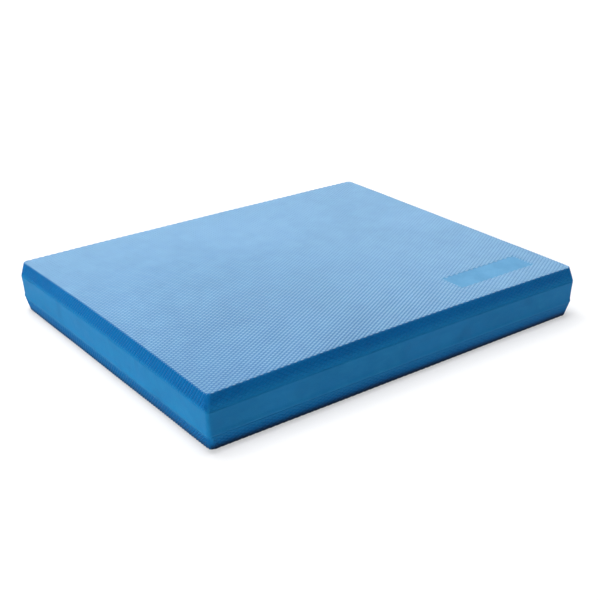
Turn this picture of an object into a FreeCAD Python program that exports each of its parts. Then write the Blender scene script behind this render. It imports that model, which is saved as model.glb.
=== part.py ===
import FreeCAD, Part

import math
import os

import Sketcher

# A balance pad: a block of soft closed-cell foam to stand on, laminated from two embossed
# facings and three foam plies. Each facing is a shallow tray that holds its own ply, and the
# thick smooth ply between the two trays shows as the plain band round the sides.
#
# Frame: origin at the centre of the underside, +X along the length, +Y along the width, +Z up.
# Lengths are in millimetres.

SIZES = {
    # overall
    "pad_length": 508.0,
    "pad_width": 416.0,
    "pad_height": 63.5,
    # side profile: the pad is widest at the upper line and slopes in above and below it
    "upper_line_height": 45.0,
    "lower_line_height": 17.0,
    "top_inset": 3.0,
    "lower_line_inset": 0.7,
    "base_inset": 5.0,
    # plan corners, measured where the pad is widest
    "corner_radius": 8.0,
    # facings
    "facing_thickness": 2.2,
    "rim_round": 1.2,
    # smooth sunken panel in the top facing, parallel to the long side
    "panel_length": 116.0,
    "panel_width": 33.0,
    "panel_depth": 0.6,
    "panel_corner_radius": 1.5,
    "panel_end_margin": 30.0,
    "panel_side_margin": 31.0,
}

PARTS_FOLDER = "parts"
TOLERANCE = 1e-4
UP = False
DOWN = True


def cell(alias):
    """The expression that reads one spreadsheet cell."""
    return "Sizes." + alias


def pad_outline(inset):
    """Expressions for the rounded rectangle that lies inset from the pad's widest outline."""
    return {
        "length": f"{cell('pad_length')} - 2 * ({inset})",
        "width": f"{cell('pad_width')} - 2 * ({inset})",
        "radius": f"{cell('corner_radius')} - ({inset})",
    }


WALL = cell("facing_thickness")
WIDEST = pad_outline("0")
WIDEST_INNER = pad_outline(WALL)
LOWER = pad_outline(cell("lower_line_inset"))
LOWER_INNER = pad_outline(f"{cell('lower_line_inset')} + {WALL}")
PANEL = {
    "length": cell("panel_length"),
    "width": cell("panel_width"),
    "radius": cell("panel_corner_radius"),
}

TOP_LEVEL = cell("pad_height")
UPPER_LEVEL = cell("upper_line_height")
LOWER_LEVEL = cell("lower_line_height")

TOP_RISE = f"{TOP_LEVEL} - {UPPER_LEVEL}"
BAND_RISE = f"{UPPER_LEVEL} - {LOWER_LEVEL}"
TOP_SLOPE = f"atan({cell('top_inset')} / ({TOP_RISE}))"
BAND_SLOPE = f"atan({cell('lower_line_inset')} / ({BAND_RISE}))"
BASE_SLOPE = f"atan(({cell('base_inset')} - {cell('lower_line_inset')}) / ({LOWER_LEVEL}))"


def make_sheet(doc):
    """The spreadsheet of driving sizes, one named cell to a row."""
    sheet = doc.addObject("Spreadsheet::Sheet", "Sizes")
    for row, (alias, value) in enumerate(SIZES.items(), start=1):
        sheet.set(f"A{row}", alias)
        sheet.set(f"B{row}", str(value))
        sheet.setAlias(f"B{row}", alias)
    doc.recompute()
    return sheet


def make_body(doc, label):
    body = doc.addObject("PartDesign::Body", label)
    body.Label = label
    return body


def ground_plane(body):
    """The body's own XY plane."""
    return next(f for f in body.Origin.OriginFeatures if f.Role == "XY_Plane")


def level_sketch(body, name, level):
    """An empty sketch parallel to the ground at a height given by an expression."""
    sketch = body.newObject("Sketcher::SketchObject", name)
    sketch.AttachmentSupport = (ground_plane(body), "")
    sketch.MapMode = "FlatFace"
    sketch.setExpression(".AttachmentOffset.Base.z", level)
    return sketch


def draw_rounded_rectangle(sketch, outline):
    """Four sides and four corner arcs, centred on the sketch's origin."""
    half_x = SIZES["pad_length"] / 2
    half_y = SIZES["pad_width"] / 2
    start_radius = SIZES["corner_radius"]
    flat_x = half_x - start_radius
    flat_y = half_y - start_radius
    normal = FreeCAD.Vector(0, 0, 1)
    quarter = math.pi / 2

    side_ends = [
        ((-flat_x, -half_y), (flat_x, -half_y)),
        ((half_x, -flat_y), (half_x, flat_y)),
        ((flat_x, half_y), (-flat_x, half_y)),
        ((-half_x, flat_y), (-half_x, -flat_y)),
    ]
    for start, end in side_ends:
        line = Part.LineSegment(FreeCAD.Vector(*start, 0), FreeCAD.Vector(*end, 0))
        sketch.addGeometry(line, False)

    corner_centres = [(flat_x, -flat_y), (flat_x, flat_y), (-flat_x, flat_y), (-flat_x, -flat_y)]
    for turn, centre in enumerate(corner_centres):
        circle = Part.Circle(FreeCAD.Vector(*centre, 0), normal, start_radius)
        first = (turn - 1) * quarter
        sketch.addGeometry(Part.ArcOfCircle(circle, first, first + quarter), False)

    for side in range(4):
        corner = 4 + side
        next_side = (side + 1) % 4
        sketch.addConstraint(Sketcher.Constraint("Tangent", side, 2, corner, 1))
        sketch.addConstraint(Sketcher.Constraint("Tangent", corner, 2, next_side, 1))
    for side, direction in enumerate(["Horizontal", "Vertical", "Horizontal", "Vertical"]):
        sketch.addConstraint(Sketcher.Constraint(direction, side))
    for corner in (5, 6, 7):
        sketch.addConstraint(Sketcher.Constraint("Equal", 4, corner))
    sketch.addConstraint(Sketcher.Constraint("Symmetric", 4, 3, 6, 3, -1, 1))

    dimensions = {
        "length": Sketcher.Constraint("DistanceX", 3, 2, 1, 1, 2 * half_x),
        "width": Sketcher.Constraint("DistanceY", 0, 1, 2, 1, 2 * half_y),
        "radius": Sketcher.Constraint("Radius", 4, start_radius),
    }
    for name, constraint in dimensions.items():
        index = sketch.addConstraint(constraint)
        sketch.renameConstraint(index, name)
        sketch.setExpression(f".Constraints.{name}", outline[name])


def outline_sketch(body, name, level, outline):
    sketch = level_sketch(body, name, level)
    draw_rounded_rectangle(sketch, outline)
    return sketch


def slab(body, name, level, outline, thickness, slope, direction):
    """A slab that starts at one level and narrows by the slope angle away from it."""
    sketch = outline_sketch(body, name + "_outline", level, outline)
    pad = body.newObject("PartDesign::Pad", name)
    pad.Profile = sketch
    pad.Type = "Length"
    pad.Reversed = direction
    pad.setExpression("Length", thickness)
    pad.setExpression("TaperAngle", f"-{slope}")
    return pad


def hollow(doc, body, name, level, outline, depth, slope, direction):
    """Hollows the facing from its open side, so that only the face and the skirt are left."""
    doc.recompute()
    before = body.Shape.Volume
    sketch = outline_sketch(body, name + "_outline", level, outline)
    pocket = body.newObject("PartDesign::Pocket", name)
    pocket.Profile = sketch
    pocket.Type = "Length"
    pocket.Reversed = direction == UP
    pocket.setExpression("Length", depth)
    pocket.setExpression("TaperAngle", f"-{slope}")
    doc.recompute()
    if body.Shape.Volume > 0.5 * before:
        raise RuntimeError(f"{name} left {body.Shape.Volume:.0f} of {before:.0f} mm3")
    return pocket


def edges_at_height(shape, height):
    """Names of the edges that lie wholly in one level plane."""
    return [
        f"Edge{number}"
        for number, edge in enumerate(shape.Edges, start=1)
        if abs(edge.BoundBox.ZMin - height) < TOLERANCE
        and abs(edge.BoundBox.ZMax - height) < TOLERANCE
    ]


def round_rim(doc, body, height):
    """Rounds the facing's rim, where its flat face turns into the skirt."""
    doc.recompute()
    block = body.Tip
    rim = body.newObject("PartDesign::Fillet", body.Label + "_rim_round")
    rim.Base = (block, edges_at_height(block.Shape, height))
    rim.setExpression("Radius", cell("rim_round"))
    return rim


def sink_panel(doc, body):
    """The smooth sunken panel near one corner of the top face."""
    before = body.Shape.Volume
    sketch = outline_sketch(body, "panel_outline", TOP_LEVEL, PANEL)
    half_length = f"{cell('pad_length')} / 2 - {cell('top_inset')}"
    half_width = f"{cell('pad_width')} / 2 - {cell('top_inset')}"
    across = f"{half_length} - {cell('panel_end_margin')} - {cell('panel_length')} / 2"
    along = f"{half_width} - {cell('panel_side_margin')} - {cell('panel_width')} / 2"
    sketch.setExpression(".AttachmentOffset.Base.x", across)
    sketch.setExpression(".AttachmentOffset.Base.y", f"-({along})")
    pocket = body.newObject("PartDesign::Pocket", "panel_recess")
    pocket.Profile = sketch
    pocket.Type = "Length"
    pocket.setExpression("Length", cell("panel_depth"))
    doc.recompute()
    expected = SIZES["panel_length"] * SIZES["panel_width"] * SIZES["panel_depth"]
    removed = before - body.Shape.Volume
    if abs(removed - expected) > 0.02 * expected:
        raise RuntimeError(f"the panel recess removed {removed:.1f} mm3, not {expected:.1f}")
    return pocket


def make_top_skin(doc):
    """Upper facing: flat top face with a skirt that slopes out to the widest line."""
    body = make_body(doc, "top_skin")
    slab(body, "top_skin_block", UPPER_LEVEL, WIDEST, TOP_RISE, TOP_SLOPE, UP)
    round_rim(doc, body, SIZES["pad_height"])
    depth = f"{TOP_RISE} - {WALL}"
    hollow(doc, body, "top_skin_hollow", UPPER_LEVEL, WIDEST_INNER, depth, TOP_SLOPE, UP)
    sink_panel(doc, body)
    return body


def make_upper_foam_ply(doc):
    """The ply that fills the upper facing."""
    body = make_body(doc, "upper_foam_ply")
    thickness = f"{TOP_RISE} - {WALL}"
    slab(body, "upper_ply_block", UPPER_LEVEL, WIDEST_INNER, thickness, TOP_SLOPE, UP)
    return body


def make_middle_foam_ply(doc):
    """The thick smooth ply whose edge shows as the plain band round the sides."""
    body = make_body(doc, "middle_foam_ply")
    slab(body, "middle_ply_block", UPPER_LEVEL, WIDEST, BAND_RISE, BAND_SLOPE, DOWN)
    return body


def make_lower_foam_ply(doc):
    """The ply that fills the lower facing."""
    body = make_body(doc, "lower_foam_ply")
    thickness = f"{LOWER_LEVEL} - {WALL}"
    slab(body, "lower_ply_block", LOWER_LEVEL, LOWER_INNER, thickness, BASE_SLOPE, DOWN)
    return body


def make_bottom_skin(doc):
    """Lower facing: flat underside with a skirt that slopes out to the lower line."""
    body = make_body(doc, "bottom_skin")
    slab(body, "bottom_skin_block", LOWER_LEVEL, LOWER, LOWER_LEVEL, BASE_SLOPE, DOWN)
    round_rim(doc, body, 0.0)
    depth = f"{LOWER_LEVEL} - {WALL}"
    hollow(doc, body, "bottom_skin_hollow", LOWER_LEVEL, LOWER_INNER, depth, BASE_SLOPE, DOWN)
    return body


def check_document(doc, bodies):
    """Stops on any failed feature and on any sub-part without one sound closed solid."""
    for thing in doc.Objects:
        if "Invalid" in thing.State or "Error" in thing.State:
            raise RuntimeError(f"{thing.Name} failed: {thing.State}")
    for body in bodies:
        shape = body.Shape
        if shape.isNull() or not shape.isValid() or len(shape.Solids) != 1:
            raise RuntimeError(f"{body.Label} is not one sound solid")


def write_parts(bodies):
    os.makedirs(PARTS_FOLDER, exist_ok=True)
    for body in bodies:
        body.Shape.exportStep(os.path.join(PARTS_FOLDER, body.Label + ".step"))
        box = body.Shape.BoundBox
        print(
            f"{body.Label}: {box.XLength:.1f} x {box.YLength:.1f} x {box.ZLength:.1f} mm,"
            f" z {box.ZMin:.1f} to {box.ZMax:.1f}, {body.Shape.Volume / 1000:.1f} cm3"
        )


def main():
    doc = FreeCAD.newDocument("balance_pad")
    make_sheet(doc)
    bodies = [
        make_top_skin(doc),
        make_upper_foam_ply(doc),
        make_middle_foam_ply(doc),
        make_lower_foam_ply(doc),
        make_bottom_skin(doc),
    ]
    doc.recompute()
    check_document(doc, bodies)
    write_parts(bodies)


main()
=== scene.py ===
"""Foam balance pad: embossed top and bottom skins over glued foam plies, with a smooth middle band.

The shape is worked out in millimetres in the part's own frame, and turned into metres when a mesh
is made. A side is described by s, the distance along it from where the flat face ends.
"""

import math

import bmesh
import bpy
import numpy as np
from mathutils import Matrix, Vector


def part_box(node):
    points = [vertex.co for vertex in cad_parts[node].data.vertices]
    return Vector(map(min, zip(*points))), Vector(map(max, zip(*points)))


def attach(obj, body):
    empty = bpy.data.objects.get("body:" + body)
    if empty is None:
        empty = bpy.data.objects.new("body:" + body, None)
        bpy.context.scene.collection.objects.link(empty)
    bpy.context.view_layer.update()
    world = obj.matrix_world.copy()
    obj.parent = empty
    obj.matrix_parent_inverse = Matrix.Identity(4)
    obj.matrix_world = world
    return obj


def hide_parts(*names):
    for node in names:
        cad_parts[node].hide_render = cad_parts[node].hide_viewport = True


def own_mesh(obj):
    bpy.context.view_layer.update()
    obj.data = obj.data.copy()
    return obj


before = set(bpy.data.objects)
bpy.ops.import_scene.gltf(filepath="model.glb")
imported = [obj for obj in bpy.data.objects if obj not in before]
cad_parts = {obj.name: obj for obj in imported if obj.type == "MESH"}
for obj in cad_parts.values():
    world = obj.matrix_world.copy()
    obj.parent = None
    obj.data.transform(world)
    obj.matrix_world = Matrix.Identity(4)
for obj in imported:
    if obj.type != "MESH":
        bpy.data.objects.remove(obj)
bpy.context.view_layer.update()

MM = 0.001
UP = (0, 0, 1)

# ---- Sizes, in millimetres -------------------------------------------------------------------

TOP_LOW, TOP_HIGH = (np.array(corner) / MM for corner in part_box("top_skin"))
BOTTOM_LOW, BOTTOM_HIGH = (np.array(corner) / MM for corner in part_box("bottom_skin"))
HALF_X, HALF_Y, HEIGHT = TOP_HIGH
UPPER_LINE = TOP_LOW[2]
LOWER_LINE = BOTTOM_HIGH[2]
PLY_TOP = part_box("upper_foam_ply")[1].z / MM
PLY_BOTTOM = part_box("lower_foam_ply")[0].z / MM
SKIN = HEIGHT - PLY_TOP

CORNER = 8.0  # how far the widest outline reaches beyond the core
CORE_X, CORE_Y = HALF_X - CORNER, HALF_Y - CORNER  # every outline is rounded about its corners
TOP_INSET = 3.0  # the top face's edge, in from the widest outline
LOWER_INSET = 0.7  # the lower glue line, in from the widest outline
BASE_INSET = 3.8  # the underside's edge, in from the widest outline
SEAM_GAP = 0.04  # on each side of a glue line
PLY_GAP = 0.15  # between a ply and the skin that it fills
PLY_STEPS = 6

DIAMOND_X, DIAMOND_Y = 4.02, 2.2  # half of one diamond of the emboss, along x and along y
PLATEAU = 0.42  # share of a diamond that is its flat crest
GROOVE = 0.75  # full depth of the emboss
END_PRESS = 0.66  # the emboss is pressed together down the two end faces, along the fold
PANEL_RECESS = 0.6  # depth of the smooth panel in the CAD skin
PANEL_WALL = 0.45  # width of the panel's sloping wall
FOLD_MARGIN = 9.0  # faces this near a fold may be cut by it
PANEL_MARGIN_X, PANEL_MARGIN_Y = 9.0, 5.0
END_GAIN, SIDE_GAIN = 0.3, -0.65  # the emboss is crisper down the ends than down the long sides
EVEN_RELIEF = 0.6  # how crisp it is down the back and the far end
END_FADE, SIDE_FADE = 5, 12  # how far the band's colour runs into the bevels

PINCH = 2.2  # how far the middle of a side is pulled in at the top
DROOP = 1.4  # how far the top corners hang down
END_SPREAD = 1.2  # how far the two ends push out near the floor
SIDE_WAVE, TOP_WAVE = 0.30, 0.25  # unevenness of the sides and of the top


# ---- Shape shared by all the pieces ----------------------------------------------------------

def smoothstep(x, low, high):
    """Eases from 0 at low to 1 at high."""
    t = np.clip((x - low) / (high - low), 0, 1)
    return t * t * (3 - 2 * t)


def drift(points, scale, seed):
    """Smooth noise from about -1 to 1 at each point, over distances of about scale millimetres."""
    random = np.random.default_rng(seed)
    slopes = random.normal(size=(256, 3))
    slopes /= np.linalg.norm(slopes, axis=1)[:, None]
    shuffle = random.permutation(256)
    place = np.asarray(points, float) / scale
    cell = np.floor(place).astype(int)
    part = place - cell
    ease = part**3 * (part * (part * 6 - 15) + 10)
    total = np.zeros(len(place))
    for corner in np.ndindex(2, 2, 2):
        x, y, z = (cell + corner).T % 256
        slope = slopes[shuffle[(shuffle[(shuffle[x] + y) % 256] + z) % 256]]
        weight = np.prod(np.where(corner, ease, 1 - ease), axis=1)
        total += weight * np.sum(slope * (part - corner), axis=1)
    return 1.6 * total


def warp(points):
    """Pulls the sides in between the corners, lets the corners droop, and adds the foam's waviness."""
    points = np.array(points, float)
    x, y, z = points.T
    rise = np.clip(z / HEIGHT, 0, 1)
    px, py = x / HALF_X, y / HALF_Y
    wave = drift(points * (1, 1, 0.3), 85.0, 1) * rise
    side_x = drift(points * (0.2, 1, 1), 70.0, 2)
    side_y = drift(points * (1, 0.2, 1), 70.0, 3)
    new_x = x - PINCH * rise * (1 - py**2) * px * np.abs(px) ** 2 + SIDE_WAVE * side_x * np.abs(px) ** 3
    spread = np.clip(px, 0, 1) ** 8 * (1 - rise**6) + np.clip(-px, 0, 1) ** 8 * (1 - rise) ** 2
    new_x += END_SPREAD * spread
    new_y = y - PINCH * rise * (1 - px**2) * py * np.abs(py) ** 2 + SIDE_WAVE * side_y * np.abs(py) ** 3
    new_z = z - DROOP * rise * px**2 * py**2 + TOP_WAVE * wave
    return np.stack([new_x, new_y, new_z], 1)


class Profile:
    """The line that a side follows from the flat face outwards: reach beyond the core, and height.

    Each corner is (reach, height, radius). The first one is the rim of the flat face.
    """

    def __init__(self, start, corners, end, segments=4):
        line = [start]
        knots = [start, *[c[:2] for c in corners], end]
        for k, (reach, height, radius) in enumerate(corners, 1):
            here = np.array((reach, height))
            back = np.array(knots[k - 1]) - here
            ahead = np.array(knots[k + 1]) - here
            back, ahead = back / np.linalg.norm(back), ahead / np.linalg.norm(ahead)
            turn = math.pi - math.acos(np.clip(back @ ahead, -1, 1))
            tangent = radius * math.tan(turn / 2)
            inward = (back + ahead) / np.linalg.norm(back + ahead)
            centre = here + inward * math.hypot(tangent, radius)
            first = here + back * tangent - centre
            last = here + ahead * tangent - centre
            for step in range(segments + 1):
                share = step / segments
                blend = first * math.sin((1 - share) * turn) + last * math.sin(share * turn)
                line.append(tuple(centre + blend / math.sin(turn)))
        line.append(end)
        self.line = np.array(line)
        steps = np.linalg.norm(np.diff(self.line, axis=0), axis=1)
        self.s = np.concatenate([[0], np.cumsum(steps)])
        self.length = self.s[-1]
        self.rim_start, self.rim_middle, self.rim_end = self.s[[1, 1 + segments // 2, 1 + segments]]

    def at(self, s):
        reach = np.interp(s, self.s, self.line[:, 0])
        height = np.interp(s, self.s, self.line[:, 1])
        return reach, height

    def normal(self, s, outward):
        """Unit normal (along the reach, up) at each s; outward is 1 for the top skin, -1 for the other."""
        reach, height = self.at(np.clip(s + 0.3, 0, self.length))
        reach_0, height_0 = self.at(np.clip(s - 0.3, 0, self.length))
        run, rise = reach - reach_0, height - height_0
        size = np.hypot(run, rise)
        return -rise / size * outward, run / size * outward


def fold_point(u, v, reach, radius):
    """Places flat sheet coordinates round the core: x, y and the outward direction in plan."""
    sign_u, sign_v = np.where(u < 0, -1, 1), np.where(v < 0, -1, 1)
    u, v = np.abs(u), np.abs(v)
    du, dv = np.maximum(u - CORE_X, 0), np.maximum(v - CORE_Y, 0)
    large, small = np.maximum(du, dv), np.minimum(du, dv)
    bend = math.pi / 4 * small / np.maximum(large, 1e-9)
    angle = np.where(du >= dv, bend, math.pi / 2 - bend)
    shift = reach - radius
    out_x, out_y = np.cos(angle), np.sin(angle)
    x = np.minimum(u, CORE_X) * (CORE_X + shift) / CORE_X + np.where(du > 0, radius * out_x, 0)
    y = np.minimum(v, CORE_Y) * (CORE_Y + shift) / CORE_Y + np.where(dv > 0, radius * out_y, 0)
    return x * sign_u, y * sign_v, out_x * sign_u, out_y * sign_v


def ring(count_x, count_y, count_corner):
    """Flat coordinates, 1 mm beyond the core, of points evenly round a rounded rectangle."""
    quarter = []
    for k in range(count_corner):
        share = k / count_corner * 2
        quarter.append((CORE_X + 1, CORE_Y + share) if share <= 1 else (CORE_X + 2 - share, CORE_Y + 1))
    top = [(CORE_X - 2 * CORE_X * k / count_x, CORE_Y + 1) for k in range(count_x)]
    next_quarter = [(-CORE_X, CORE_Y + 1), *((-u, v) for u, v in reversed(quarter[1:]))]
    left = [(-CORE_X - 1, CORE_Y - 2 * CORE_Y * k / count_y) for k in range(count_y)]
    half = quarter + top + next_quarter + left
    return np.array(half + [(-u, -v) for u, v in half])


# ---- Embossed sheet --------------------------------------------------------------------------

def lattice(half_u, half_v):
    """A flat sheet of raised diamonds as vertices and quads: z is 0 on a crest, -GROOVE in a groove."""
    ni, nj = int(half_u / DIAMOND_X) + 3, int(half_v / DIAMOND_Y) + 3
    i, j = np.meshgrid(np.arange(-ni, ni + 1), np.arange(-nj, nj + 1), indexing="ij")
    is_crossing = (i + j) % 2 != 0
    number = np.full(i.shape, -1)
    number[is_crossing] = np.arange(is_crossing.sum())
    crossings = np.stack([i[is_crossing] * DIAMOND_X, j[is_crossing] * DIAMOND_Y], 1)
    centre = ~is_crossing
    centre[[0, -1], :] = False
    centre[:, [0, -1]] = False
    ci, cj = i[centre] + ni, j[centre] + nj
    base = is_crossing.sum() + 4 * np.arange(len(ci))
    corners = [(1, 0), (0, 1), (-1, 0), (0, -1)]
    crest = []
    for di, dj in corners:
        crest_x = (ci - ni + di * PLATEAU) * DIAMOND_X
        crest_y = (cj - nj + dj * PLATEAU) * DIAMOND_Y
        crest.append(np.stack([crest_x, crest_y], 1))
    crest = np.stack(crest, 1).reshape(-1, 2)
    outer = [number[ci + di, cj + dj] for di, dj in corners]
    quads = [np.stack([base, base + 1, base + 2, base + 3], 1)]
    for k in range(4):
        n = (k + 1) % 4
        quads.append(np.stack([outer[k], outer[n], base + n, base + k], 1))
    flat = np.concatenate([crossings, crest])
    z = np.concatenate([np.full(len(crossings), -GROOVE), np.zeros(len(crest))])
    return np.column_stack([flat, z]), np.concatenate(quads)


def crispness(x, y):
    """How crisp the emboss is, 0 to 1: sharp near the front corner and pressed flat towards the back."""
    front = 1 - smoothstep(y + 0.15 * x, -150, 120)
    across = 1 - 0.65 * smoothstep(x, -30, 180)
    away_from_near_end = 0.72 + 0.28 * smoothstep(x, -250, -150)
    return 0.12 + 0.88 * front * across * away_from_near_end


def near(bm, region):
    """The part of the sheet whose faces have their middle in a region."""
    faces = [face for face in bm.faces if region(face.calc_center_median())]
    return [*{v for f in faces for v in f.verts}, *{e for f in faces for e in f.edges}, *faces]


def cut(bm, part, origin, normal, clear=False):
    """Cuts part of the sheet along a line, and returns that part with its new edges."""
    result = bmesh.ops.bisect_plane(
        bm, geom=part, dist=1e-4, plane_co=(*origin, 0), plane_no=(*normal, 0), clear_outer=clear
    )
    return result["geom"]


def folded_sheet(profile, panel=None):
    """The lattice trimmed to the folded size, with an edge along every fold and round the panel.

    It is still flat: x and y are the distances along the sheet, z is the emboss.
    """
    half_u, half_v = CORE_X + profile.length, CORE_Y + profile.length
    fold = CORE_X + profile.rim_middle
    # Beyond the fold at its two ends, the lattice is pressed together lengthwise.
    verts, quads = lattice(fold + (half_u - fold) / END_PRESS, half_v)
    beyond = np.maximum(np.abs(verts[:, 0]) - fold, 0)
    verts[:, 0] -= np.sign(verts[:, 0]) * beyond * (1 - END_PRESS)
    mesh = bpy.data.meshes.new("sheet")
    mesh.from_pydata(verts.tolist(), [], quads.tolist())
    bm = bmesh.new()
    bm.from_mesh(mesh)
    bpy.data.meshes.remove(mesh)
    for sign in (1, -1):
        end = near(bm, lambda c: c.x * sign > CORE_X - FOLD_MARGIN)
        for s in profile.s[:-1]:
            end = cut(bm, end, (sign * (CORE_X + s), 0), (sign, 0))
        cut(bm, end, (sign * half_u, 0), (sign, 0), clear=True)
    for sign in (1, -1):
        side = near(bm, lambda c: c.y * sign > CORE_Y - FOLD_MARGIN)
        for s in profile.s[:-1]:
            side = cut(bm, side, (0, sign * (CORE_Y + s)), (0, sign))
        cut(bm, side, (0, sign * half_v), (0, sign), clear=True)
    for sx in (1, -1):
        for sy in (1, -1):
            corner = near(bm, lambda c: c.x * sx > CORE_X and c.y * sy > CORE_Y)
            cut(bm, corner, (sx * CORE_X, sy * CORE_Y), (sx, -sy))
    if panel is not None:
        (x0, y0), (x1, y1) = panel
        patch = near(
            bm,
            lambda c: x0 - PANEL_MARGIN_X < c.x < x1 + PANEL_MARGIN_X
            and y0 - PANEL_MARGIN_Y < c.y < y1 + PANEL_MARGIN_Y,
        )
        for d in (0, PANEL_WALL):
            for x in (x0 + d, x1 - d):
                patch = cut(bm, patch, (x, 0), (1, 0))
            for y in (y0 + d, y1 - d):
                patch = cut(bm, patch, (0, y), (0, 1))
    flat = np.array([v.co for v in bm.verts])
    bm.verts.index_update()
    faces = [[v.index for v in f.verts] for f in bm.faces]
    bm.free()
    return flat, faces


def edge_loop(flat, half_u, half_v):
    """Indices of the vertices on the sheet's edge, in order round it."""
    u, v = flat[:, 0] / half_u, flat[:, 1] / half_v
    on_edge = np.flatnonzero(np.maximum(np.abs(u), np.abs(v)) > 1 - 1e-6)
    return on_edge[np.argsort(np.arctan2(v[on_edge], u[on_edge]))]


def make_mesh(name, points, faces, attributes, smooth=False):
    """A piece with the shared warp, in metres, with its named values at the vertices."""
    mesh = bpy.data.meshes.new(name)
    mesh.from_pydata((warp(points) * MM).tolist(), [], faces)
    for key, values in attributes.items():
        layer = mesh.attributes.new(key, "FLOAT", "POINT")
        layer.data.foreach_set("value", np.asarray(values, np.float32))
    bm = bmesh.new()
    bm.from_mesh(mesh)
    bmesh.ops.recalc_face_normals(bm, faces=bm.faces)
    bm.to_mesh(mesh)
    bm.free()
    mesh.polygons.foreach_set("use_smooth", [smooth] * len(mesh.polygons))
    piece = bpy.data.objects.new(name, mesh)
    bpy.context.scene.collection.objects.link(piece)
    return piece


def emboss(flat, profile, radii, outward, panel):
    """Folds the flat sheet round the pad, and returns its points with the values that its material reads."""
    u, v, height = flat.T
    du, dv = np.maximum(np.abs(u) - CORE_X, 0), np.maximum(np.abs(v) - CORE_Y, 0)
    s = np.maximum(du, dv)
    crest = 1 + height / GROOVE

    # The panel is flat, and the outline of its colour follows the diamonds unevenly.
    in_panel, smooth_panel = np.zeros(len(flat)), np.zeros(len(flat))
    if panel is not None:
        (x0, y0), (x1, y1) = panel
        inside = np.minimum.reduce([u - x0, x1 - u, v - y0, y1 - v])
        in_panel = smoothstep(inside, -0.01, PANEL_WALL * 0.9)
        height = height * (1 - in_panel) - GROOVE * 1.05 * in_panel
        frayed = inside + 1.4 * (0.5 - crest) + 0.6 * drift(flat * (1, 1, 0), 3.0, 6)
        smooth_panel = smoothstep(frayed, -0.6, 0.6)

    # The emboss is shallow at the corners and ends a little unevenly just before the glue line.
    corner = smoothstep(np.minimum(du, dv), 0.5, 4.0)
    ragged = s + 0.7 * drift(flat * (1, 1, 0), 2.6, 4)
    end_fade = 1 - smoothstep(ragged, profile.length - 2.6, profile.length - 0.5)
    reach, level = profile.at(s)
    x, y, out_x, out_y = fold_point(u, v, reach, np.interp(s, *radii))
    on_side = smoothstep(s, profile.rim_start, profile.rim_end)
    on_end = np.abs(out_x) > np.abs(out_y)
    even = smoothstep(np.maximum(out_x, out_y), 0.3, 0.9) * on_side
    gain = 1 + on_side * np.where(on_end, END_GAIN, SIDE_GAIN)
    # relief also sets how strong the painted groove shade and the paler crests of the bloom (dust and
    # painted sheen) are.
    relief = crispness(x, y) * gain * (1 - even) + EVEN_RELIEF * even
    height = height * (1 - 0.7 * corner) * end_fade * (0.5 + 0.5 * np.minimum(relief, 1))
    run, rise = profile.normal(s, outward)
    points = np.stack([x + height * run * out_x, y + height * run * out_y, level + height * rise], 1)

    # The pale face, partly dust and partly painted sheen, has a toothed edge at the rim, where each
    # diamond's crest reaches over it.
    toothed = s + 1.3 * (0.5 - crest)
    face = 1 - smoothstep(toothed, profile.rim_start, profile.rim_end)
    fade_length = np.where(on_end, END_FADE, SIDE_FADE)
    fade = smoothstep(ragged, profile.length - fade_length, profile.length - 0.6)
    # Painted contact shade: near-black from the underside over the lower rim and a little way up the bevel,
    # standing in for the shadow where the pad meets the floor; weaker down the two ends.
    painted_contact_shade = np.zeros(len(flat))
    if outward < 0:
        up_the_bevel = smoothstep(s, profile.rim_end + 0.5, profile.rim_end + 8)
        painted_contact_shade = smoothstep(s, profile.rim_start - 5, profile.rim_start) * (1 - up_the_bevel)
        painted_contact_shade *= np.where(on_end, 0.6, 1.0)
    marks = {"crest": crest, "relief": relief, "face": face, "panel": smooth_panel, "fade": fade, "painted_contact_shade": painted_contact_shade}
    return points, marks


def skin(name, profile, radii, outward, inner, panel=None):
    """An embossed skin: the folded sheet outside, and a plain inside that its ply fills."""
    flat, faces = folded_sheet(profile, panel)
    points, marks = emboss(flat, profile, radii, outward, panel)
    loop = edge_loop(flat, CORE_X + profile.length, CORE_Y + profile.length)
    rings = [loop]
    extra = []
    for reach, height, radius in inner:
        x, y, _, _ = fold_point(flat[loop, 0], flat[loop, 1], reach, radius)
        rings.append(np.arange(len(loop)) + len(points) + len(loop) * len(extra))
        extra.append(np.stack([x, y, np.full(len(loop), height)], 1))
    hub = len(points) + len(loop) * len(extra)
    following = np.roll(np.arange(len(loop)), -1)
    for one, two in zip(rings, rings[1:]):
        faces += np.stack([one, one[following], two[following], two], 1).tolist()
    faces += np.stack([rings[-1], rings[-1][following], np.full(len(loop), hub)], 1).tolist()
    all_points = np.concatenate([points, *extra, [[0, 0, inner[-1][1]]]])
    added = len(all_points) - len(points)
    attributes = {key: np.append(values, np.zeros(added)) for key, values in marks.items()}
    attributes["fade"][len(points):] = 1
    return make_mesh(name, all_points, faces, attributes)


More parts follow.
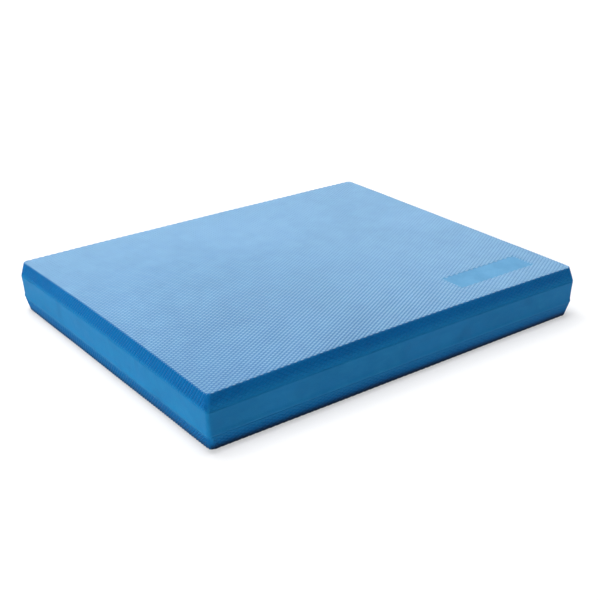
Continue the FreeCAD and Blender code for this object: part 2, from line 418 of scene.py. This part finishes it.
def stack(name, levels, bump, seed, counts):
    """A ply as rings of (reach, height, radius), closed at both ends; counts is for ring()."""
    flat = ring(*counts)
    n = len(flat)
    points = []
    for reach, height, radius in levels:
        x, y, _, _ = fold_point(flat[:, 0], flat[:, 1], reach, radius)
        points.append(np.stack([x, y, np.full(n, height)], 1))
    points = np.concatenate(points)
    _, _, out_x, out_y = fold_point(flat[:, 0], flat[:, 1], CORNER, CORNER)
    out = np.tile(np.stack([out_x, out_y], 1), (len(levels), 1))
    unevenness = drift(points, 26.0, seed) + 0.5 * drift(points, 9.0, seed + 1)
    points[:, :2] += out * (bump * unevenness)[:, None]
    faces = []
    following = np.roll(np.arange(n), -1)
    here = np.arange(n)
    for k in range(len(levels) - 1):
        lower = [here + k * n, following + k * n]
        faces += np.stack([*lower, following + (k + 1) * n, here + (k + 1) * n], 1).tolist()
    low, high = len(points), len(points) + 1
    points = np.concatenate([points, [[0, 0, levels[0][1]], [0, 0, levels[-1][1]]]])
    last = (len(levels) - 1) * n
    faces += np.stack([following, here, np.full(n, low)], 1).tolist()
    faces += np.stack([here + last, following + last, np.full(n, high)], 1).tolist()
    return make_mesh(name, points, faces, {}, smooth=True)


# ---- Materials -------------------------------------------------------------------------------

NEAR_GLOW, FAR_GLOW = 0.47, 0.97  # of the floor near the pad, and of the far floor and the wall


class Nodes:
    """Short calls for building one material's node tree."""

    def __init__(self, name):
        self.material = bpy.data.materials.new(name)
        self.material.use_nodes = True
        self.tree = self.material.node_tree
        self.shader = self.tree.nodes["Principled BSDF"]
        self.place = self.tree.nodes.new("ShaderNodeTexCoord").outputs["Object"]

    def link(self, source, socket):
        """Joins a node's output to the socket, or sets the socket to a constant."""
        if isinstance(source, bpy.types.NodeSocket):
            self.tree.links.new(source, socket)
        else:
            socket.default_value = source

    def noise(self, scale, detail=3.0, roughness=0.55, stretch=(1, 1, 1)):
        node = self.tree.nodes.new("ShaderNodeTexNoise")
        node.inputs["Scale"].default_value = scale
        node.inputs["Detail"].default_value = detail
        node.inputs["Roughness"].default_value = roughness
        self.link(self.stretched(stretch), node.inputs["Vector"])
        return node.outputs["Fac"]

    def stretched(self, stretch):
        if stretch == (1, 1, 1):
            return self.place
        node = self.tree.nodes.new("ShaderNodeMapping")
        node.inputs["Scale"].default_value = stretch
        self.link(self.place, node.inputs["Vector"])
        return node.outputs["Vector"]

    def cells(self, scale):
        node = self.tree.nodes.new("ShaderNodeTexVoronoi")
        node.inputs["Scale"].default_value = scale
        self.link(self.place, node.inputs["Vector"])
        return node.outputs["Distance"]

    def value(self, attribute):
        node = self.tree.nodes.new("ShaderNodeAttribute")
        node.attribute_name = attribute
        return node.outputs["Fac"]

    def distance(self, point):
        node = self.tree.nodes.new("ShaderNodeVectorMath")
        node.operation = "DISTANCE"
        self.link(self.place, node.inputs[0])
        node.inputs[1].default_value = point
        return node.outputs["Value"]

    def math(self, operation, *sources):
        node = self.tree.nodes.new("ShaderNodeMath")
        node.operation = operation
        for source, socket in zip(sources, node.inputs):
            self.link(source, socket)
        return node.outputs[0]

    def span(self, source, from_low, from_high, to_low=0.0, to_high=1.0):
        node = self.tree.nodes.new("ShaderNodeMapRange")
        for socket, number in zip(list(node.inputs)[1:5], (from_low, from_high, to_low, to_high)):
            socket.default_value = number
        self.link(source, node.inputs[0])
        return node.outputs[0]

    def mix(self, factor, one, two):
        node = self.tree.nodes.new("ShaderNodeMix")
        node.data_type = "RGBA"
        self.link(factor, node.inputs["Factor"])
        self.link(one, node.inputs["A"])
        self.link(two, node.inputs["B"])
        return node.outputs["Result"]

    def bump(self, height, strength, distance, before=None):
        node = self.tree.nodes.new("ShaderNodeBump")
        node.inputs["Strength"].default_value = strength
        node.inputs["Distance"].default_value = distance
        self.link(height, node.inputs["Height"])
        if before is not None:
            self.link(before, node.inputs["Normal"])
        return node.outputs["Normal"]

    def glow(self, strength):
        self.shader.inputs["Emission Color"].default_value = rgb(1, 1, 1)
        self.link(strength, self.shader.inputs["Emission Strength"])

    def finish(self, colour, roughness, normal, specular):
        self.link(colour, self.shader.inputs["Base Color"])
        self.link(roughness, self.shader.inputs["Roughness"])
        if normal is not None:
            self.link(normal, self.shader.inputs["Normal"])
        self.shader.inputs["Specular IOR Level"].default_value = specular
        return self.material


def rgb(red, green, blue):
    return (red, green, blue, 1)


def facing_material():
    """The embossed facing: a pale bloom on the flat face, partly dust and wear and partly painted sheen;
    plain blue foam down the sides, with painted shade in the grooves and a painted contact shade along the
    bottom edge.
    """
    n = Nodes("embossed_facing")
    crest, relief, face = n.value("crest"), n.value("relief"), n.value("face")
    panel, fade, painted_contact_shade = n.value("panel"), n.value("fade"), n.value("painted_contact_shade")
    patches = n.noise(9.0, 4.0)
    blotches = n.noise(55.0, 3.0)
    specks = n.noise(900.0, 2.0, 0.7)
    body = n.mix(n.span(patches, 0.35, 0.65), rgb(0.0004, 0.122, 0.345), rgb(0.0010, 0.145, 0.388))
    body = n.mix(n.span(blotches, 0.4, 0.7, 0.0, 0.35), body, rgb(0.003, 0.172, 0.420))
    # Painted shade in the grooves: darker in the grooves than on the crests, more where the relief is crisp,
    # and a little darker all over.
    groove = n.math("MULTIPLY_ADD", n.span(crest, 0.0, 1.0, 0.24, -0.21), relief, 0.21)
    body = n.mix(groove, body, rgb(0.0005, 0.070, 0.240))
    body = n.mix(n.math("MULTIPLY", fade, 0.9), body, rgb(0.007, 0.172, 0.400))
    # Painted contact shade: near-black along the bottom edge, for the shadow where the pad meets the floor.
    body = n.mix(n.math("MULTIPLY", painted_contact_shade, 0.93), body, rgb(0.003, 0.012, 0.035))
    # The pale bloom on the flat face is partly dust and wear and partly painted sheen, paler on the crests.
    dust_and_sheen = n.mix(n.span(patches, 0.3, 0.7), rgb(0.69, 0.94, 0.90), rgb(0.77, 0.99, 0.95))
    # Painted sheen: the bloom is lighter further from the near corner.
    from_corner = n.distance((-HALF_X * MM, -HALF_Y * MM, HEIGHT * MM))
    away_from_near_end = n.span(from_corner, 0.02, 0.42, 0.78, 1.06)
    wear_and_sheen = n.math("MULTIPLY_ADD", n.span(crest, 0.2, 1.0, -0.126, 0.174), relief, 0.205)
    wear_and_sheen = n.math("MULTIPLY", wear_and_sheen, away_from_near_end)
    wear_and_sheen = n.math("MULTIPLY", wear_and_sheen, n.span(blotches, 0.3, 0.7, 0.93, 1.07))
    wear_and_sheen = n.math("MULTIPLY", wear_and_sheen, face)
    colour = n.mix(wear_and_sheen, body, dust_and_sheen)
    smooth = n.mix(n.span(blotches, 0.35, 0.7), rgb(0.057, 0.216, 0.390), rgb(0.086, 0.260, 0.442))
    colour = n.mix(panel, colour, smooth)
    speck = n.math("MULTIPLY", n.span(specks, 0.55, 0.85, 0.0, 0.22), face)
    colour = n.mix(speck, colour, rgb(0.30, 0.52, 0.76))
    grain = n.bump(n.cells(1300.0), 0.25, 0.0002)
    normal = n.bump(n.noise(420.0, 3.0, 0.6), 0.3, 0.0003, grain)
    roughness = n.span(blotches, 0.3, 0.7, 0.44, 0.56)
    return n.finish(colour, roughness, normal, specular=0.055)


def band_material():
    """The smooth cut foam of the middle band."""
    n = Nodes("smooth_foam")
    clouds = n.noise(14.0, 4.0)
    mottle = n.noise(70.0, 4.0, 0.6, (0.6, 0.6, 1))
    streaks = n.noise(60.0, 2.0, 0.5, (0.15, 0.15, 3.0))
    pores = n.cells(620.0)
    colour = n.mix(n.span(clouds, 0.35, 0.65), rgb(0.003, 0.166, 0.390), rgb(0.006, 0.191, 0.442))
    colour = n.mix(n.span(mottle, 0.45, 0.75, 0.0, 0.55), colour, rgb(0.018, 0.225, 0.450))
    colour = n.mix(n.span(n.noise(24.0, 2.0), 0.56, 0.72, 0.0, 0.5), colour, rgb(0.004, 0.130, 0.315))
    colour = n.mix(n.span(streaks, 0.5, 0.8, 0.0, 0.25), colour, rgb(0.004, 0.155, 0.375))
    colour = n.mix(n.span(pores, 0.0, 0.25, 0.25, 0.0), colour, rgb(0.003, 0.125, 0.320))
    grain = n.bump(n.cells(760.0), 0.35, 0.0003)
    normal = n.bump(n.noise(160.0, 4.0, 0.6), 0.25, 0.0006, grain)
    roughness = n.span(mottle, 0.3, 0.7, 0.55, 0.7)
    return n.finish(colour, roughness, normal, specular=0.12)


def core_material():
    """The plain cut foam of the plies inside the skins."""
    n = Nodes("core_foam")
    clouds = n.noise(18.0, 3.0)
    pores = n.cells(520.0)
    colour = n.mix(n.span(clouds, 0.35, 0.65), rgb(0.036, 0.260, 0.560), rgb(0.060, 0.320, 0.640))
    colour = n.mix(n.span(pores, 0.0, 0.3, 0.4, 0.0), colour, rgb(0.015, 0.180, 0.440))
    normal = n.bump(pores, 0.5, 0.0005)
    return n.finish(colour, n.span(clouds, 0.3, 0.7, 0.62, 0.75), normal, specular=0.15)


def floor_material():
    """Pale floor, lit evenly: it glows more further out, where the studio lights don't reach."""
    n = Nodes("studio_floor")
    tone = n.span(n.noise(3.0), 0.3, 0.7)
    colour = n.mix(tone, rgb(0.41, 0.41, 0.41), rgb(0.43, 0.43, 0.43))
    n.glow(n.span(n.distance((0, 0, 0)), 0.7, 2.0, NEAR_GLOW, FAR_GLOW))
    return n.finish(colour, 0.9, n.bump(n.noise(300.0), 0.05, 0.0005), specular=0.0)


def wall_material():
    """White wall, as bright as the far floor."""
    n = Nodes("studio_wall")
    n.glow(FAR_GLOW)
    return n.finish(rgb(0, 0, 0), 0.9, None, specular=0.0)


# ---- The five pieces -------------------------------------------------------------------------

def panel_corners():
    """The smooth panel's rectangle, read from the floor of its recess in the CAD skin."""
    points = np.array([v.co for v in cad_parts["top_skin"].data.vertices]) / MM
    points = points[np.abs(points[:, 2] - (HEIGHT - PANEL_RECESS)) < 0.02]
    inner = points[(np.abs(points[:, 0]) < HALF_X - 10) & (np.abs(points[:, 1]) < HALF_Y - 10)]
    return inner[:, :2].min(0), inner[:, :2].max(0)


def corner_radii(profile, radii):
    """Corner radius against s, from the flat face over the rim to the lip."""
    return [0, profile.rim_start, profile.rim_end, profile.length], radii


LIP_RADIUS, LIP_DEPTH = 0.5, 0.7

top_lip = (CORNER, UPPER_LINE + SEAM_GAP, LIP_RADIUS)
top_rim = (CORNER - TOP_INSET, HEIGHT, 1.2)
top_profile = Profile((0, HEIGHT), [top_rim, top_lip], (top_lip[0] - LIP_DEPTH, top_lip[1]))
top_radii = corner_radii(top_profile, [0, 1.3 * top_profile.rim_start, 6.0, 3.4])
top_inner = [(CORNER - SKIN, top_lip[1], 1.8), (CORNER - TOP_INSET - SKIN, HEIGHT - SKIN, 1.8)]
top_piece = skin("top_skin_visual", top_profile, top_radii, 1, top_inner, panel_corners())

base_lip = (CORNER - LOWER_INSET, LOWER_LINE - SEAM_GAP, LIP_RADIUS)
base_rim = (CORNER - BASE_INSET, 0, 2.0)
base_profile = Profile((0, 0), [base_rim, base_lip], (base_lip[0] - LIP_DEPTH, base_lip[1]))
base_radii = corner_radii(base_profile, [0, 2 * base_profile.rim_start, 7.0, 5.6])
base_inner = [(base_lip[0] - SKIN, base_lip[1], 3.6), (CORNER - BASE_INSET - SKIN, SKIN, 1.8)]
base_piece = skin("bottom_skin_visual", base_profile, base_radii, -1, base_inner)

# The band is slightly hollow, with a low ridge above the lower glue line and both edges eased.
band_levels = []
band_low, band_high = LOWER_LINE + SEAM_GAP, UPPER_LINE - SEAM_GAP
band_height = band_high - band_low
band_rows = [0, 0.15, 0.5, 1.2, 2.2, 3.5, 5, 7, 9, 11, 13, 15, 17, 19, 21, 23, 24.5, 26, 27, 27.6]
for row in [*band_rows, band_height]:
    share = row / band_height
    hollow = 0.35 * math.sin(math.pi * share) ** 0.7
    ridge = 0.55 * math.exp(-((row - 2.4) / 1.7) ** 2)
    edge = 0.45 * math.exp(-row / 0.22) + 0.4 * math.exp(-(band_height - row) / 0.22)
    beyond = ridge - hollow - edge - LOWER_INSET * (1 - share)
    band_levels.append((CORNER + beyond, band_low + row, 5.8 - 2.2 * share + beyond))
band_piece = stack("middle_foam_ply_visual", band_levels, 0.16, 11, (250, 205, 6))

upper_levels, lower_levels = [], []
for step in range(PLY_STEPS + 1):
    share = step / PLY_STEPS
    upper_reach = CORNER - SKIN - PLY_GAP - TOP_INSET * share
    upper_height = UPPER_LINE + SEAM_GAP + (PLY_TOP - 0.2 - UPPER_LINE) * share
    upper_levels.append((upper_reach, upper_height, 5.5 - 3.0 * share))
    lower_reach = CORNER - BASE_INSET - SKIN - PLY_GAP + (BASE_INSET - LOWER_INSET) * share
    lower_height = PLY_BOTTOM + PLY_GAP + (LOWER_LINE - 0.2 - PLY_BOTTOM) * share
    lower_levels.append((lower_reach, lower_height, 0.6 + 4.2 * share))
upper_piece = stack("upper_foam_ply_visual", upper_levels, 0.05, 21, (125, 102, 4))
lower_piece = stack("lower_foam_ply_visual", lower_levels, 0.05, 31, (125, 102, 4))

facing, band, core = facing_material(), band_material(), core_material()
pieces = [
    (top_piece, "top_skin", "deck", "embossed_facing", facing, 0.9),
    (upper_piece, "upper_foam_ply", "deck", "core_foam", core, 1.0),
    (band_piece, "middle_foam_ply", "base", "smooth_foam", band, 0.95),
    (lower_piece, "lower_foam_ply", "base", "core_foam", core, 1.0),
    (base_piece, "bottom_skin", "base", "embossed_facing", facing, 0.9),
]
for piece, node, body, slot, material, fill in pieces:
    piece.data.materials.append(material)
    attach(piece, body)
    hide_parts(node)
    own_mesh(piece)


# ---- Studio ----------------------------------------------------------------------------------

def stage_piece(name, corners, faces, material):
    mesh = bpy.data.meshes.new(name)
    mesh.from_pydata(corners, [], faces)
    mesh.materials.append(material)
    piece = bpy.data.objects.new(name, mesh)
    piece.location.z = -STAGE_DROP
    bpy.context.scene.collection.objects.link(piece)
    return piece


# Lengths here are in metres. The wall only closes the view behind the pad: it lights nothing.
STAGE_DROP = 0.0001
FLOOR_REACH = 50
WALL_SIDES, WALL_RADIUS, WALL_HEIGHT = 48, 20, 14

floor_corners = [(x * FLOOR_REACH, y * FLOOR_REACH, 0) for x, y in ((-1, -1), (1, -1), (1, 1), (-1, 1))]
stage_piece("floor", floor_corners, [(0, 1, 2, 3)], floor_material())

wall_corners, wall_faces = [], []
for i in range(WALL_SIDES):
    turn = math.tau * i / WALL_SIDES
    x, y = WALL_RADIUS * math.cos(turn), WALL_RADIUS * math.sin(turn)
    wall_corners += [(x, y, 0), (x, y, WALL_HEIGHT)]
    low, next_low = 2 * i, 2 * ((i + 1) % WALL_SIDES)
    wall_faces.append((low, next_low, next_low + 1, low + 1))
wall = stage_piece("wall", wall_corners, wall_faces, wall_material())
wall.visible_diffuse = wall.visible_glossy = wall.visible_transmission = wall.visible_shadow = False


def area_light(name, position, target, size, power, colour=(1, 1, 1)):
    light = bpy.data.lights.new(name, "AREA")
    light.shape = "RECTANGLE"
    light.size, light.size_y = size
    light.energy = power
    light.color = colour
    lamp = bpy.data.objects.new(name, light)
    lamp.location = position
    lamp.rotation_euler = (Vector(position) - Vector(target)).to_track_quat("Z", "Y").to_euler()
    lamp.visible_camera = False
    bpy.context.scene.collection.objects.link(lamp)


area_light("key", (-0.33, 0.62, 2.4), (0, 0, 0), (1.3, 1.3), 51)
area_light("overhead", (0.0, -0.15, 2.4), (0, -0.15, 0), (1.6, 0.35), 31)
area_light("left_fill", (-2.4, -0.3, 0.9), (0, 0, 0.03), (1.4, 1.0), 34)
area_light("cool_fill", (1.3, -2.4, 0.7), (0, 0, 0.03), (1.6, 0.8), 3.5, (0.0, 0.3, 1.0))
area_light("backdrop", (1.7, 2.3, 1.1), (0, 0, 0), (3.2, 1.3), 44)

world = bpy.data.worlds.new("studio")
world.use_nodes = True
world.node_tree.nodes["Background"].inputs["Color"].default_value = (0.95, 0.97, 1.0, 1)
world.node_tree.nodes["Background"].inputs["Strength"].default_value = 0.07
bpy.context.scene.world = world
bpy.context.scene.view_settings.view_transform = "Standard"
bpy.context.scene.view_settings.look = "None"

# ---- Camera: the photograph's viewing angle --------------------------------------------------

AZIMUTH, ELEVATION, ROLL = math.radians(-36.627), math.radians(24.165), math.radians(-0.447)
AIM = Vector((0.02621, 0.02373, 0))
DISTANCE = 1.3455

camera_data = bpy.data.cameras.new("camera")
camera_data.lens = 65.62
camera_data.sensor_width = 36
camera_data.clip_start = 0.05
camera = bpy.data.objects.new("camera", camera_data)
flat_back = Vector((math.sin(AZIMUTH), -math.cos(AZIMUTH), 0))
back = flat_back * math.cos(ELEVATION) + Vector(UP) * math.sin(ELEVATION)
right = Vector((math.cos(AZIMUTH), math.sin(AZIMUTH), 0))
up = back.cross(right)
tilted_right = right * math.cos(ROLL) + up * math.sin(ROLL)
tilted_up = up * math.cos(ROLL) - right * math.sin(ROLL)
turned = Matrix((tilted_right, tilted_up, back)).transposed().to_4x4()
camera.matrix_world = Matrix.Translation(AIM + back * DISTANCE) @ turned
bpy.context.scene.collection.objects.link(camera)
bpy.context.scene.camera = camera
